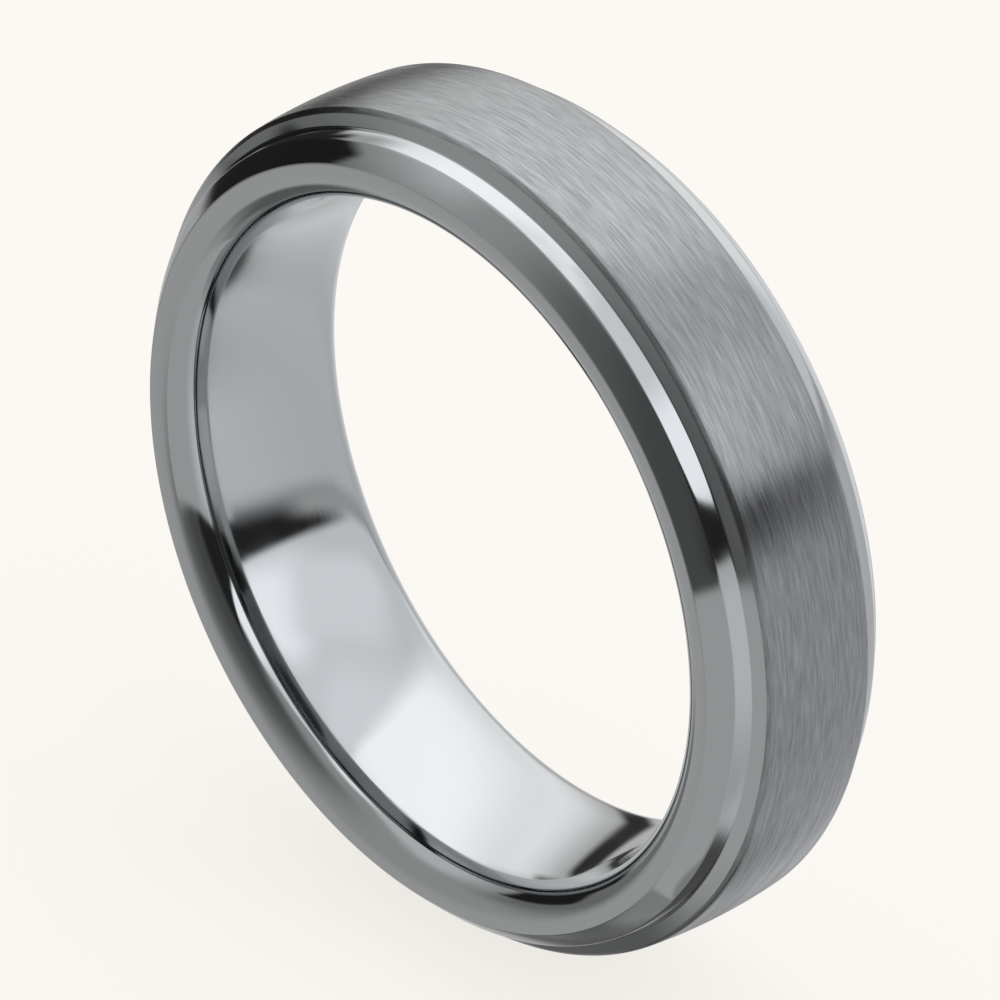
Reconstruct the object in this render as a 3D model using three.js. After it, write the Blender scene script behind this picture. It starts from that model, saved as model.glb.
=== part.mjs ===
// Wedding band: a plain ring of one hard, heavy metal, pressed and ground in a single piece.
//
// The ring stands on its rim. Its axis, the line that the finger follows, runs along Y through
// the origin, and Z is up. Everything is in millimetres.

import * as THREE from "three";

// --- Driving dimensions ---------------------------------------------------------------------

const WIDTH = 6;                  // from one flat side face to the other, along the finger
const FINGER_DIAMETER = 18.7;     // the bore at its narrowest, a US size 8 3/4
const CROWN_DIAMETER = 23.8;      // over the middle of the brushed centre band

const CENTRE_BAND_WIDTH = 3.35;   // the brushed band, which stands proud of the polished edges
const CROWN_HEIGHT = 0.09;        // how much the centre band swells between its two edges
const LIP_WIDTH = 0.145;          // the small chamfer along each edge of the centre band
const LIP_DROP = 0.106;
const RISER_WIDTH = 0.16;         // the steep wall from the chamfer down to the shoulder
const RISER_DROP = 0.336;
const SHOULDER_WIDTH = 0.487;     // the narrow polished strip at the foot of the riser
const SHOULDER_DROP = 0.134;
const BEVEL_DROP = 0.514;         // the wide bevel from the shoulder to the side face

// The comfort-fit bore swells inwards. From its middle to each side face the outline is three
// arcs, each flush with the one before, and the last one ends flush with the side face.
const DOME_RADIUS = 13.5;         // the middle of the bore, almost straight
const DOME_SLOPE = 6.9;           // degrees from the axis where the dome ends
const HAUNCH_RADIUS = 5.4;        // the bore starts to open
const HAUNCH_SLOPE = 14.4;        // degrees

const SEGMENTS = 96;              // facets around the ring
const CROWN_STEPS = 5;            // facets across the crown, an odd number so the middle is flat
const DOME_STEPS = 3;             // facets across half of the dome
const HAUNCH_STEPS = 2;           // facets across each haunch
const CORNER_STEPS = 6;           // facets across each rounded corner

// --- Outline --------------------------------------------------------------------------------

const HALF_WIDTH = WIDTH / 2;
const BAND_EDGE = CENTRE_BAND_WIDTH / 2;
const BORE_RADIUS = FINGER_DIAMETER / 2;
const BAND_RADIUS = CROWN_DIAMETER / 2 - CROWN_HEIGHT;

// The crown: one shallow arc from edge to edge of the centre band.
function crownPoints() {
  const arcRadius = (BAND_EDGE ** 2 + CROWN_HEIGHT ** 2) / (2 * CROWN_HEIGHT);
  const halfAngle = Math.asin(BAND_EDGE / arcRadius);
  const arcCentre = CROWN_DIAMETER / 2 - arcRadius;
  const points = [];
  for (let step = 0; step <= CROWN_STEPS; step++) {
    const angle = THREE.MathUtils.lerp(-halfAngle, halfAngle, step / CROWN_STEPS);
    points.push(new THREE.Vector2(
      arcCentre + arcRadius * Math.cos(angle),
      arcRadius * Math.sin(angle),
    ));
  }
  return points;
}

// The steps outside the crown on the +Y side, from the lip down to the side face.
function edgePoints() {
  const lip = new THREE.Vector2(BAND_RADIUS - LIP_DROP, BAND_EDGE + LIP_WIDTH);
  const riserFoot = new THREE.Vector2(lip.x - RISER_DROP, lip.y + RISER_WIDTH);
  const shoulder = new THREE.Vector2(riserFoot.x - SHOULDER_DROP, riserFoot.y + SHOULDER_WIDTH);
  const sideFace = new THREE.Vector2(shoulder.x - BEVEL_DROP, HALF_WIDTH);
  return [lip, riserFoot, shoulder, sideFace];
}

// An arc that carries the bore's outline on from its last point, up to a steeper slope.
function continueArc(points, startSlope, endSlope, arcRadius, steps) {
  const start = points[points.length - 1];
  for (let step = 1; step <= steps; step++) {
    const slope = THREE.MathUtils.lerp(startSlope, endSlope, step / steps);
    points.push(new THREE.Vector2(
      start.x + arcRadius * (Math.cos(startSlope) - Math.cos(slope)),
      start.y + arcRadius * (Math.sin(slope) - Math.sin(startSlope)),
    ));
  }
}

// Half of the bore, from its middle out to the side face on the +Y side.
function borePoints() {
  const domeSlope = THREE.MathUtils.degToRad(DOME_SLOPE);
  const haunchSlope = THREE.MathUtils.degToRad(HAUNCH_SLOPE);
  const points = [new THREE.Vector2(BORE_RADIUS, 0)];
  continueArc(points, 0, domeSlope, DOME_RADIUS, DOME_STEPS);
  continueArc(points, domeSlope, haunchSlope, HAUNCH_RADIUS, HAUNCH_STEPS);
  const leftOver = HALF_WIDTH - points[points.length - 1].y;
  const cornerRadius = leftOver / (1 - Math.sin(haunchSlope));
  continueArc(points, haunchSlope, Math.PI / 2, cornerRadius, CORNER_STEPS);
  return points;
}

// The same points on the -Y side.
function mirrored(points) {
  return points.map((point) => new THREE.Vector2(point.x, -point.y));
}

// x is the distance from the ring's axis and y is the place along it.
function ringOutline() {
  const outline = [
    ...mirrored(edgePoints()).reverse(),
    ...crownPoints(),
    ...edgePoints(),
    ...borePoints().reverse(),
    ...mirrored(borePoints().slice(1)),
  ];
  outline.push(outline[0].clone());
  return outline;
}

// --- The ring -------------------------------------------------------------------------------

// Half a facet of turn lays one flat facet, not a corner, along the bottom of the rim.
const HALF_FACET = Math.PI / SEGMENTS;

const band = new THREE.Mesh(
  new THREE.LatheGeometry(ringOutline(), SEGMENTS, HALF_FACET, 2 * Math.PI),
  new THREE.MeshStandardMaterial({ color: 0x8a8b8e, roughness: 0.2, metalness: 1 }),
);
band.name = "band";

const group = new THREE.Group();
group.add(band);

export default group;
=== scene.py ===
# %% [markdown]
# # A two-tone wedding band
#
# The real ring is one solid piece of tungsten carbide. The powder is pressed to the shape of a
# ring, sintered until it is nearly as hard as diamond, and then ground and polished. Nothing is
# joined to it, so the lesson makes one closed mesh: a half outline, turned once round the
# finger's axis, as the ring is turned against its grinding wheel. The looks are then two
# finishes of the same metal, mirror polish and brushing, and a studio for them to reflect.

import math

import bmesh
import bpy
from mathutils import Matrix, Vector


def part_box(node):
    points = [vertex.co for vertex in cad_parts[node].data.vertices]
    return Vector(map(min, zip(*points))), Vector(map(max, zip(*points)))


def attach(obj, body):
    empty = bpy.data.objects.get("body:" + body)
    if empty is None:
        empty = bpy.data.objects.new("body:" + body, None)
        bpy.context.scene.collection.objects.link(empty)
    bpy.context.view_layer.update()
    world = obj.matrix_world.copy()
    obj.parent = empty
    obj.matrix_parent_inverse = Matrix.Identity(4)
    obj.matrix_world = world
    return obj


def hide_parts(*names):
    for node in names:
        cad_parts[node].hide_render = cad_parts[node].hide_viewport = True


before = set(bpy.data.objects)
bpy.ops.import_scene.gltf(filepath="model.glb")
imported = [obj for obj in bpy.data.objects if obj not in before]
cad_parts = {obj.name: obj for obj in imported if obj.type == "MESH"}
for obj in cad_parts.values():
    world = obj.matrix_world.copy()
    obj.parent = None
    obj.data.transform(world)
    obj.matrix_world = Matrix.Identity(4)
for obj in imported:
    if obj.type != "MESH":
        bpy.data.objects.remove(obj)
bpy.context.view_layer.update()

MM = 0.001
ring_low, ring_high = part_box("band")
ring_centre = (ring_low + ring_high) / 2
OUTER_RADIUS = (ring_high.z - ring_low.z) / 2
HALF_WIDTH = (ring_high.y - ring_low.y) / 2
print(f"ring {2 * OUTER_RADIUS / MM:.2f} mm over the crown, {2 * HALF_WIDTH / MM:.2f} mm wide")

# %% [markdown]
# ## Colours and nodes
#
# A colour given here is an sRGB value, and a shader works with linear light, so one function
# turns the first into the second. Materials and the studio are both node trees, and one more
# function adds a node to a tree, sets its options and links or fills its sockets.

# %% Colour and node helpers
def linear(hex_colour, brightness=1.0):
    """An sRGB colour such as "#FBF8F3" as linear red, green, blue and alpha, times brightness."""
    channels = [int(hex_colour[start:start + 2], 16) / 255 for start in (1, 3, 5)]
    curve = [((c + 0.055) / 1.055) ** 2.4 if c > 0.04045 else c / 12.92 for c in channels]
    return tuple(c * brightness for c in curve) + (1.0,)


def add(tree, kind, sockets, **options):
    """Adds one node. A socket is given a value, or the output of another node to link to. It goes
    by its name, or by its number on a node whose sockets share a name."""
    node = tree.nodes.new(kind)
    for name, value in options.items():
        setattr(node, name, value)
    for name, value in sockets.items():
        if isinstance(value, bpy.types.NodeSocket):
            tree.links.new(value, node.inputs[name])
        else:
            node.inputs[name].default_value = value
    return node


# %% [markdown]
# ## The camera
#
# A ring is small, and a short lens close by would swell its near rim. A long lens from a good
# way back keeps the near and far rims almost the same size. The camera looks down on the ring
# from its front right, and aims a little beside the ring's middle. Its place is worked out from
# two angles and a distance, which are easier to judge and change than three coordinates.

# %% Camera
CAMERA_AZIMUTH = math.radians(47.44)
CAMERA_ELEVATION = math.radians(31.44)
CAMERA_DISTANCE = 471 * MM
LENS_MM = 651
AIM_RIGHT = -0.2355 * MM
AIM_UP = 0.282 * MM

toward_camera = Vector((
    math.sin(CAMERA_AZIMUTH) * math.cos(CAMERA_ELEVATION),
    -math.cos(CAMERA_AZIMUTH) * math.cos(CAMERA_ELEVATION),
    math.sin(CAMERA_ELEVATION),
))
camera_right = Vector((math.cos(CAMERA_AZIMUTH), math.sin(CAMERA_AZIMUTH), 0))
camera_up = toward_camera.cross(camera_right)

camera_data = bpy.data.cameras.new("camera")
camera_data.lens = LENS_MM
camera = bpy.data.objects.new("camera", camera_data)
aim = ring_centre + camera_right * AIM_RIGHT + camera_up * AIM_UP
camera.location = aim + toward_camera * CAMERA_DISTANCE
camera.rotation_mode = "QUATERNION"
camera.rotation_quaternion = toward_camera.to_track_quat("Z", "Y")
bpy.context.scene.collection.objects.link(camera)
bpy.context.scene.camera = camera
bpy.context.scene.view_settings.view_transform = "Standard"
looking_down = math.degrees(CAMERA_ELEVATION)
print(f"camera {CAMERA_DISTANCE / MM:.0f} mm away, looking down {looking_down:.1f} degrees")

# %% [markdown]
# ## The studio
#
# Polished metal has almost no colour of its own. What the eye reads as shine is the studio in
# reflection: bright softboxes behind and overhead, black cards low down that draw the dark lines
# along the edges, and the pale table underneath. Lamps and planes could make this, but in a
# jeweller's studio each card is placed by where its reflection falls. So the cards are painted
# on the world, each by its azimuth and elevation seen from the ring. Azimuth 0 is in front and
# 90 is to the right, and a later card hides what lies under it.

# %% The empty studio
CREAM = "#FBF8F3"
WHITE = "#FFFFFF"
COOL = "#FBFCFF"

world = bpy.data.worlds.new("studio")
bpy.context.scene.world = world
world.use_nodes = True
studio = world.node_tree
studio.nodes.clear()
direction = add(studio, "ShaderNodeTexCoord", {}).outputs["Generated"]
height = add(studio, "ShaderNodeSeparateXYZ", {"Vector": direction}).outputs["Z"]
elevation = add(studio, "ShaderNodeMath", {0: height}, operation="ARCSINE").outputs["Value"]
print(f"world {world.name} is ready for its cards")


# %% One card
def paint_card(under, azimuth, reach, low, high, glow, tint=WHITE, side=6, edge=6, slant=0.0):
    """Paints one card over the colour under it, and gives the new colour. Its place is in degrees:
    reach is half of its width, side and edge say how soft its upright and level sides are, and
    slant is how far its right end rises in each degree of its width."""
    turned = add(studio, "ShaderNodeVectorRotate", {
        "Vector": direction,
        "Angle": math.radians(-azimuth),
    }, rotation_type="Z_AXIS")
    across = add(studio, "ShaderNodeSeparateXYZ", {"Vector": turned.outputs["Vector"]})
    ahead = add(studio, "ShaderNodeMath", {0: across.outputs["Y"], 1: -1.0}, operation="MULTIPLY")
    beside = add(studio, "ShaderNodeMath", {0: across.outputs["X"], 1: ahead.outputs["Value"]},
                 operation="ARCTAN2")
    level = add(studio, "ShaderNodeMath", {0: beside.outputs["Value"], 1: -slant, 2: elevation},
                operation="MULTIPLY_ADD")
    mask = 1.0
    for value, middle, half, softness in (
        (beside.outputs["Value"], 0, reach, side),
        (level.outputs["Value"], (low + high) / 2, (high - low) / 2, edge),
    ):
        away = add(studio, "ShaderNodeMath", {0: value, 1: math.radians(middle)}, operation="SUBTRACT")
        far = add(studio, "ShaderNodeMath", {0: away.outputs["Value"]}, operation="ABSOLUTE")
        inside = add(studio, "ShaderNodeMapRange", {
            "Value": far.outputs["Value"],
            "From Min": math.radians(half - softness / 2),
            "From Max": math.radians(half + softness / 2),
            "To Min": 1.0,
            "To Max": 0.0,
        }, interpolation_type="SMOOTHSTEP")
        mask = add(studio, "ShaderNodeMath", {0: mask, 1: inside.outputs["Result"]},
                   operation="MULTIPLY").outputs["Value"]
    painted = add(studio, "ShaderNodeMix", {0: mask, 6: under, 7: linear(tint, glow)}, data_type="RGBA")
    return painted.outputs[2]


# %% [markdown]
# ## The table and the room, as the metal sees them
#
# The lower half of the world stands for the lit table, with the ring's own shade right under it
# and behind it on the left. The upper half in front is the dim room. Broad polished faces mirror
# these two, so their tones set how dark the metal looks, and a soft side on each card is what
# lets one tone melt into the next along the ring.

# %% Table and room in reflection
TABLE_GLOW = 0.86

# Degrees, just past half a turn and past straight up and straight down.
ALL_ROUND = 181
TOP = 91
BOTTOM = -91

light = linear(WHITE, TABLE_GLOW)

# The shade on the table under the ring and behind it.
light = paint_card(light, azimuth=0, reach=ALL_ROUND, low=BOTTOM, high=-70, glow=0.56, edge=16)
light = paint_card(light, azimuth=-170, reach=80, low=BOTTOM, high=-65, glow=0.38, side=30, edge=6)
light = paint_card(light, azimuth=-135, reach=28, low=-74, high=-50, glow=0.2, side=16, edge=10)
light = paint_card(light, azimuth=-170, reach=50, low=-82, high=-62, glow=0.16, side=20, edge=8)
light = paint_card(light, azimuth=-70, reach=42, low=-76, high=-55, glow=0.25, side=50, edge=8)
light = paint_card(light, azimuth=-118, reach=16, low=-52, high=-14, glow=0.55, side=12, edge=10)
light = paint_card(light, azimuth=-142, reach=24, low=-56, high=-26, glow=0.6, side=20, edge=12)

# The room: a grey wall all round, lighter high on the left, darker where the camera stands.
light = paint_card(light, azimuth=0, reach=ALL_ROUND, low=-18, high=TOP, glow=0.74, edge=24)
light = paint_card(light, azimuth=-68, reach=24, low=34, high=82, glow=1.25, side=24, edge=20)
light = paint_card(light, azimuth=14, reach=26, low=-30, high=54, glow=0.29, side=40, edge=26)
light = paint_card(light, azimuth=38, reach=22, low=-30, high=44, glow=0.17, side=30, edge=24)
light = paint_card(light, azimuth=-70, reach=14, low=-22, high=20, glow=0.36, side=20, edge=16)

# The table behind, lit by the softboxes.
light = paint_card(light, azimuth=150, reach=62, low=-60, high=4, glow=1.12, tint=COOL, side=24, edge=12)
print(f"{len(studio.nodes)} nodes with the table and the room")

# %% [markdown]
# ## The softboxes and the black cards
#
# Two softboxes light the ring from behind. They make the white run of light along the shoulder
# and the bright inside of the bore. Bright metal on a pale ground has no outline, so black cards
# are set beside it: each draws one dark patch, and gives the polished edge its shape. A hard
# side on a card draws a hard line in the metal, and a soft one draws a fade.

# %% Softboxes
# A wide one behind on the right with a bright near end, and the ceiling.
light = paint_card(light, azimuth=145, reach=62, low=5, high=TOP, glow=1.6, tint=COOL, side=10, edge=8)
light = paint_card(light, azimuth=162, reach=40, low=46, high=78, glow=2.0, tint=COOL, side=30, edge=24)
light = paint_card(light, azimuth=100, reach=36, low=40, high=82, glow=1.8, tint=COOL, side=16, edge=16)
light = paint_card(light, azimuth=92, reach=34, low=20, high=48, glow=2.6, tint=COOL, side=14, edge=14)
light = paint_card(light, azimuth=138, reach=16, low=20, high=42, glow=1.95, tint=COOL, side=16, edge=8)
light = paint_card(light, azimuth=0, reach=ALL_ROUND, low=78, high=TOP, glow=2.35, edge=14)

# A brighter one behind on the left, with its near end in shade.
light = paint_card(light, azimuth=-141, reach=44, low=9, high=80, glow=2.1, side=14, edge=28)
light = paint_card(light, azimuth=-142, reach=50, low=38, high=78, glow=2.8, side=14, edge=28)
light = paint_card(light, azimuth=-104, reach=9, low=9, high=30, glow=0.9, side=8, edge=14)
print(f"{len(studio.nodes)} nodes with the softboxes")

# %% Black cards
# One low on the right, with the table in front of it, which cuts its lower edge.
light = paint_card(light, azimuth=92, reach=47, low=-12, high=22, glow=0.04, side=16, edge=3, slant=-0.22)
light = paint_card(light, azimuth=125, reach=32, low=-60, high=4, glow=1.25, tint=COOL, side=16, edge=12)
light = paint_card(light, azimuth=150, reach=24, low=3, high=9, glow=0.85, side=10, edge=5)
light = paint_card(light, azimuth=40, reach=44, low=-72, high=-6.6, glow=0.92, side=6, edge=3, slant=0.31)
light = paint_card(light, azimuth=94, reach=14, low=-62, high=6, glow=1.1, side=6, edge=3)
light = paint_card(light, azimuth=98, reach=26, low=-62, high=1, glow=1.4, tint=COOL, side=30, edge=10)
light = paint_card(light, azimuth=100, reach=26, low=-64, high=-38, glow=0.95, side=30, edge=30)
light = paint_card(light, azimuth=155, reach=32, low=BOTTOM, high=-65, glow=0.16, side=30, edge=10)

# One on the left, and the grey gap below its right end.
light = paint_card(light, azimuth=-90, reach=21, low=-15, high=20, glow=0.03, side=4, edge=5, slant=0.12)
light = paint_card(light, azimuth=-120, reach=16, low=-13, high=-2, glow=0.05, side=8, edge=5)
light = paint_card(light, azimuth=-108, reach=8, low=-15, high=12, glow=0.04, side=4, edge=5)
light = paint_card(light, azimuth=-74, reach=7, low=-32, high=-5, glow=0.38, side=4, edge=5)

# %% What the camera sees of it
lit = add(studio, "ShaderNodeBackground", {"Color": light})
plain = add(studio, "ShaderNodeBackground", {"Color": linear(CREAM)})
seen = add(studio, "ShaderNodeLightPath", {})
choice = add(studio, "ShaderNodeMixShader", {
    0: seen.outputs["Is Camera Ray"],
    1: lit.outputs["Background"],
    2: plain.outputs["Background"],
})
add(studio, "ShaderNodeOutputWorld", {"Surface": choice.outputs["Shader"]})
print(f"studio of {len(studio.nodes)} nodes, plain cream to the camera")

# %% [markdown]
# ## The table
#
# The ring stands on its rim on a sheet of pale card. A plain matt plane would do, but its tone
# would then hang on every card of the studio. So most of its tone is a glow of its own, and a
# small share is matt and answers the studio, which leaves a faint shade where the ring stands.
# The studio already has a painted table for the metal to mirror, so this one is hidden from it.

# %% Table
TABLE_SIZE = 4000 * MM
TABLE_MATT_SHARE = 0.1
TABLE_SHINE = 0.95

table = bmesh.new()
bmesh.ops.create_grid(table, x_segments=1, y_segments=1, size=TABLE_SIZE / 2)
bmesh.ops.translate(table, vec=(0, 0, ring_low.z), verts=table.verts)
table_mesh = bpy.data.meshes.new("table")
table.to_mesh(table_mesh)
table.free()
floor = bpy.data.objects.new("table", table_mesh)
bpy.context.scene.collection.objects.link(floor)
floor.visible_glossy = False

card = bpy.data.materials.new("pale_table")
card.use_nodes = True
tree = card.node_tree
tree.nodes.clear()
glow = add(tree, "ShaderNodeEmission", {"Color": linear(CREAM, TABLE_SHINE)})
matt = add(tree, "ShaderNodeBsdfDiffuse", {"Color": linear(CREAM)})
both = add(tree, "ShaderNodeMixShader", {
    0: TABLE_MATT_SHARE,
    1: glow.outputs["Emission"],
    2: matt.outputs["BSDF"],
})
add(tree, "ShaderNodeOutputMaterial", {"Surface": both.outputs["Shader"]})
table_mesh.materials.append(card)
print(f"table {TABLE_SIZE:.0f} m wide, {TABLE_MATT_SHARE:.0%} matt")

# %% [markdown]
# ## The outline
#
# Cut the ring through, and the metal shows one closed outline: a crowned centre band, a small
# chamfer and a steep riser down to a narrow shoulder, a wide bevel, a flat side face, and a bore
# that swells inwards and rounds over at its mouth, which jewellers call a comfort fit. A tube
# with insets and bevels could get there, but every corner of it is a circle round one axis. So
# half of the outline is drawn, straight where a flat wheel cuts and in arcs where the metal
# swells, and mirrored. An arc is one vertex, spun about the arc's centre.

# %% Drawing helpers
ring = bmesh.new()


def line_from(last, drop, out):
    """A straight line from a vertex, in towards the axis by drop and along it by out."""
    drawn = bmesh.ops.extrude_vert_indiv(ring, verts=[last])
    bmesh.ops.translate(ring, verts=drawn["verts"], vec=(-drop, out, 0))
    return drawn["verts"][0]


def arc_from(last, radius, start, end, steps, side):
    """An arc from a vertex, between two slopes to the axis. Its centre is on one side of it: -1
    is towards the axis, and 1 is away from it."""
    centre = last.co + Vector((side * radius * math.cos(start), -radius * math.sin(start), 0))
    drawn = bmesh.ops.spin(ring, geom=[last], cent=centre, axis=(0, 0, 1),
                           angle=side * (start - end), steps=steps)
    return drawn["geom_last"][0]


# %% The band and its edge
CROWN_HEIGHT = 0.09 * MM
CROWN_STEPS = 12
BAND_EDGE = 1.675 * MM
LIP_DROP = 0.106 * MM
LIP_WIDTH = 0.145 * MM
RISER_DROP = 0.336 * MM
RISER_WIDTH = 0.16 * MM
SHOULDER_DROP = 0.134 * MM
SHOULDER_WIDTH = 0.487 * MM
SHOULDER_SWELL = math.radians(5)
SHOULDER_STEPS = 8
BEVEL_DROP = 0.514 * MM

crown_radius = (BAND_EDGE ** 2 + CROWN_HEIGHT ** 2) / (2 * CROWN_HEIGHT)
crown_slope = math.asin(BAND_EDGE / crown_radius)
shoulder_slope = math.atan2(SHOULDER_DROP, SHOULDER_WIDTH)
shoulder_radius = math.hypot(SHOULDER_DROP, SHOULDER_WIDTH) / 2 / math.sin(SHOULDER_SWELL)

tip = ring.verts.new((OUTER_RADIUS, 0, 0))
tip = arc_from(tip, crown_radius, 0, crown_slope, CROWN_STEPS, side=-1)
tip = line_from(tip, LIP_DROP, LIP_WIDTH)
tip = line_from(tip, RISER_DROP, RISER_WIDTH)
tip = arc_from(tip, shoulder_radius, shoulder_slope - SHOULDER_SWELL,
               shoulder_slope + SHOULDER_SWELL, SHOULDER_STEPS, side=-1)
side_top = line_from(tip, BEVEL_DROP, HALF_WIDTH - tip.co.y)
print(f"side face starts {side_top.co.x / MM:.2f} mm from the axis")

# %% The bore
BORE_RADIUS = 9.35 * MM
DOME_RADIUS = 13.5 * MM
DOME_SLOPE = math.radians(6.9)
DOME_STEPS = 12
HAUNCH_RADIUS = 5.4 * MM
HAUNCH_SLOPE = math.radians(14.4)
HAUNCH_STEPS = 6
MOUTH_STEPS = 24
UPRIGHT = math.pi / 2

tip = ring.verts.new((BORE_RADIUS, 0, 0))
tip = arc_from(tip, DOME_RADIUS, 0, DOME_SLOPE, DOME_STEPS, side=1)
tip = arc_from(tip, HAUNCH_RADIUS, DOME_SLOPE, HAUNCH_SLOPE, HAUNCH_STEPS, side=1)
mouth_radius = (HALF_WIDTH - tip.co.y) / (1 - math.sin(HAUNCH_SLOPE))
side_foot = arc_from(tip, mouth_radius, HAUNCH_SLOPE, UPRIGHT, MOUTH_STEPS, side=1)
ring.edges.new((side_top, side_foot))
print(f"side face ends {side_foot.co.x / MM:.2f} mm from the axis, mouth rounded {mouth_radius / MM:.2f} mm")

# %% Mirror the other half
WELD = 0.0001 * MM

bmesh.ops.mirror(ring, geom=ring.verts[:] + ring.edges[:], axis="Y", merge_dist=WELD)
print(f"{len(ring.verts)} points in the outline")

# %% [markdown]
# ## The spin
#
# A grinder turns the ring against the wheel, and a full spin does the same with the outline. A
# Screw modifier could too, but the operator leaves a plain mesh whose corners can be picked out
# for the next step. use_merge joins the last turn to the first, so that the ring is closed.

# %% Spin
TURNS = 384

bmesh.ops.spin(ring, geom=ring.verts[:] + ring.edges[:], cent=(0, 0, 0), axis=(0, 1, 0),
               angle=2 * math.pi, steps=TURNS, use_merge=True)
bmesh.ops.recalc_face_normals(ring, faces=ring.faces)
closed = all(edge.is_manifold for edge in ring.edges)
print(f"{len(ring.faces)} faces, closed: {closed}, {ring.calc_volume() / MM ** 3:.0f} mm3")

# %% [markdown]
# ## Edge breaks
#
# No ground corner stays quite sharp. Polishing rolls it over by a few hundredths of a millimetre,
# and that thin roll is what catches a line of light or dark along the edge. A Bevel modifier
# could do it, but the operator also says which faces it made. They are marked in a face
# attribute, so that the material can give them the duller polish of a worn edge.

# %% Edge breaks
EDGE_BREAK = 0.04 * MM
EDGE_SEGMENTS = 3
ROUND = 0.5
CORNER = math.radians(12)

corners = [edge for edge in ring.edges if edge.calc_face_angle() > CORNER]
worn = ring.faces.layers.float.new("edge_break")
softened = bmesh.ops.bevel(ring, geom=corners, offset=EDGE_BREAK, offset_type="OFFSET",
                           segments=EDGE_SEGMENTS, profile=ROUND, affect="EDGES", material=-1,
                           clamp_overlap=True)
for face in softened["faces"]:
    face[worn] = 1.0
print(f"{len(corners)} corner edges softened")

# %% [markdown]
# ## Two finishes on one piece
#
# The maker polishes the whole ring, masks the edges, and brushes the centre band with a belt.
# Two objects could carry the two finishes, but the metal has no joint there, so each face takes
# one of two material slots by its place in the outline. The faces are shaded smooth, and a
# Weighted Normal modifier keeps the broad flats flat, so the roll-over stays on the edge breaks.

# %% Finishes by place
POLISHED = 0
BRUSHED = 1
EVEN_WEIGHT = 50
LIP_FOOT = OUTER_RADIUS - CROWN_HEIGHT - LIP_DROP
brushed_faces = 0

for face in ring.faces:
    middle = face.calc_center_median()
    radius = math.hypot(middle.x, middle.z)
    on_band = abs(middle.y) < BAND_EDGE + LIP_WIDTH and radius > LIP_FOOT
    face.material_index = BRUSHED if on_band else POLISHED
    face.smooth = True
    brushed_faces += on_band
ring_mesh = bpy.data.meshes.new("wedding_band")
ring.to_mesh(ring_mesh)
ring.free()
band = bpy.data.objects.new("wedding_band", ring_mesh)
bpy.context.scene.collection.objects.link(band)
shading = band.modifiers.new("true_faces", "WEIGHTED_NORMAL")
shading.mode = "FACE_AREA"
shading.weight = EVEN_WEIGHT
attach(band, "root")
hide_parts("band")
print(f"{brushed_faces} brushed faces of {len(ring_mesh.polygons)}")

# %% [markdown]
# ## Polished tungsten carbide
#
# Sintered tungsten carbide is a neutral grey, darker than steel or silver. The edges and the
# bore are lapped with diamond paste to a mirror, which gives the eye crisp, slightly dim
# reflections. A single low roughness would look like chrome, so noise clouds the haze a little
# where hands have touched it, lines left by the polishing wheel run round the ring under the
# gloss, and the marked edge breaks are duller. The lines are too fine to show at their true
# spacing of a few microns, so they are drawn a tenth of a millimetre apart.

# %% Material helpers
NOISE_LOW = 0.3
NOISE_HIGH = 0.7


def start_material(name):
    """A new material with an empty tree, and the coordinates that its patterns follow."""
    metal = bpy.data.materials.new(name)
    metal.use_nodes = True
    metal.node_tree.nodes.clear()
    place = add(metal.node_tree, "ShaderNodeTexCoord", {}).outputs["Object"]
    return metal, metal.node_tree, place


def spread(tree, noise, low, high):
    """Noise stays near its middle, so this stretches its usual range to run from low to high."""
    return add(tree, "ShaderNodeMapRange", {
        "Value": noise,
        "From Min": NOISE_LOW,
        "From Max": NOISE_HIGH,
        "To Min": low,
        "To Max": high,
    }).outputs["Result"]


def lines_around(tree, place, pitch, length, detail):
    """Noise drawn out along the ring's circumference, as a belt or a wheel leaves it."""
    stretched = add(tree, "ShaderNodeMapping", {
        "Vector": place,
        "Scale": (1 / length, 1 / pitch, 1 / length),
    })
    return add(tree, "ShaderNodeTexNoise", {
        "Vector": stretched.outputs["Vector"],
        "Scale": 1.0,
        "Detail": detail,
    }).outputs["Fac"]


# %% Polished metal
CARBIDE = "#959798"
HAZE_SIZE = 1.2 * MM
HAZE_DETAIL = 3.0
HAZE_LOW = 0.045
HAZE_HIGH = 0.09
EDGE_HAZE = 0.12
LINE_PITCH = 0.1 * MM
LINE_LENGTH = 4 * MM
LINE_DEPTH = 0.0005 * MM
LINE_DETAIL = 2.0

polished, tree, place = start_material("polished_tungsten_carbide")
clouds = add(tree, "ShaderNodeTexNoise", {
    "Vector": place,
    "Scale": 1 / HAZE_SIZE,
    "Detail": HAZE_DETAIL,
})
haze = spread(tree, clouds.outputs["Fac"], HAZE_LOW, HAZE_HIGH)
edge = add(tree, "ShaderNodeAttribute", {}, attribute_name="edge_break")
gloss = add(tree, "ShaderNodeMix", {0: edge.outputs["Fac"], 2: haze, 3: EDGE_HAZE})
lines = lines_around(tree, place, LINE_PITCH, LINE_LENGTH, LINE_DETAIL)
relief = add(tree, "ShaderNodeBump", {"Height": lines, "Strength": 1.0, "Distance": LINE_DEPTH})
surface = add(tree, "ShaderNodeBsdfPrincipled", {
    "Base Color": linear(CARBIDE),
    "Metallic": 1.0,
    "Roughness": gloss.outputs[0],
    "Normal": relief.outputs["Normal"],
})
add(tree, "ShaderNodeOutputMaterial", {"Surface": surface.outputs["BSDF"]})
ring_mesh.materials.append(polished)
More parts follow.
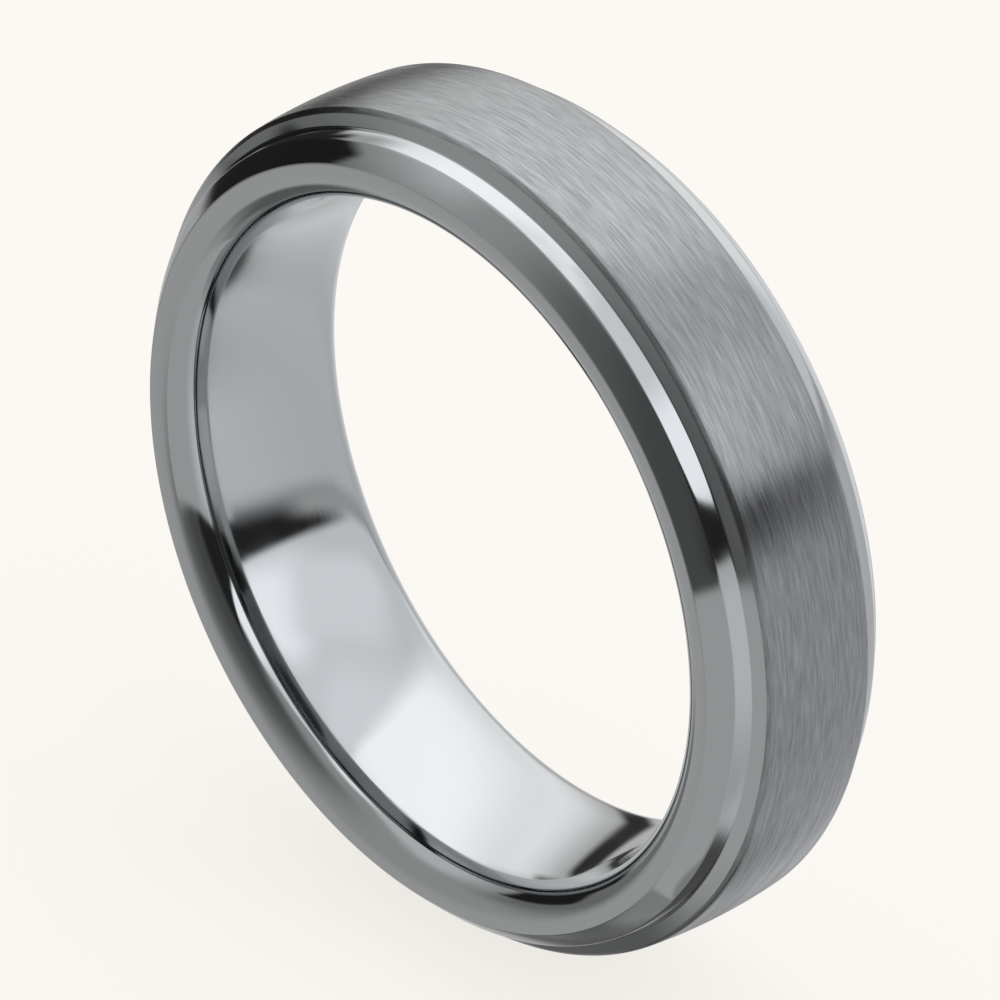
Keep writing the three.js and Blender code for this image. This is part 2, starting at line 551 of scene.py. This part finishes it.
print(f"{polished.name}: {len(tree.nodes)} nodes")

# %% [markdown]
# ## Brushed tungsten carbide
#
# A belt drags short scratches round the centre band. Each scratch is a tiny groove, so light
# spreads widely across the scratches and little along them: the reflections smear into soft
# bars that lie across the band. The anisotropy does that, turned to follow the ring, and
# stretched noise draws the scratches themselves, in tone and in a shallow bump. Real ones are
# 0.01 to 0.03 mm wide, and are drawn coarser here so that they show.

# %% Brushed metal
BRUSHED_DARK = "#676869"
BRUSHED_LIGHT = "#7F8182"
STREAK_PITCH = 0.065 * MM
STREAK_LENGTH = 0.9 * MM
STREAK_DEPTH = 0.008 * MM
STREAK_DETAIL = 3.0
BAND_PITCH = 0.3 * MM
BAND_LENGTH = 6 * MM
BAND_DETAIL = 1.0
BRUSHED_LOW = 0.23
BRUSHED_HIGH = 0.31
SMEAR = 0.75
ACROSS = 0.25

brushed, tree, place = start_material("brushed_tungsten_carbide")
streaks = lines_around(tree, place, STREAK_PITCH, STREAK_LENGTH, STREAK_DETAIL)
bands = lines_around(tree, place, BAND_PITCH, BAND_LENGTH, BAND_DETAIL)
colour = add(tree, "ShaderNodeMix", {
    0: spread(tree, streaks, 0.0, 1.0),
    6: linear(BRUSHED_DARK),
    7: linear(BRUSHED_LIGHT),
}, data_type="RGBA")
relief = add(tree, "ShaderNodeBump", {"Height": streaks, "Strength": 1.0, "Distance": STREAK_DEPTH})
around = add(tree, "ShaderNodeTangent", {}, direction_type="RADIAL", axis="Y")
surface = add(tree, "ShaderNodeBsdfPrincipled", {
    "Base Color": colour.outputs[2],
    "Metallic": 1.0,
    "Roughness": spread(tree, bands, BRUSHED_LOW, BRUSHED_HIGH),
    "Anisotropic": SMEAR,
    "Anisotropic Rotation": ACROSS,
    "Tangent": around.outputs["Tangent"],
    "Normal": relief.outputs["Normal"],
})
add(tree, "ShaderNodeOutputMaterial", {"Surface": surface.outputs["BSDF"]})
ring_mesh.materials.append(brushed)
print(f"{brushed.name}: {len(tree.nodes)} nodes")
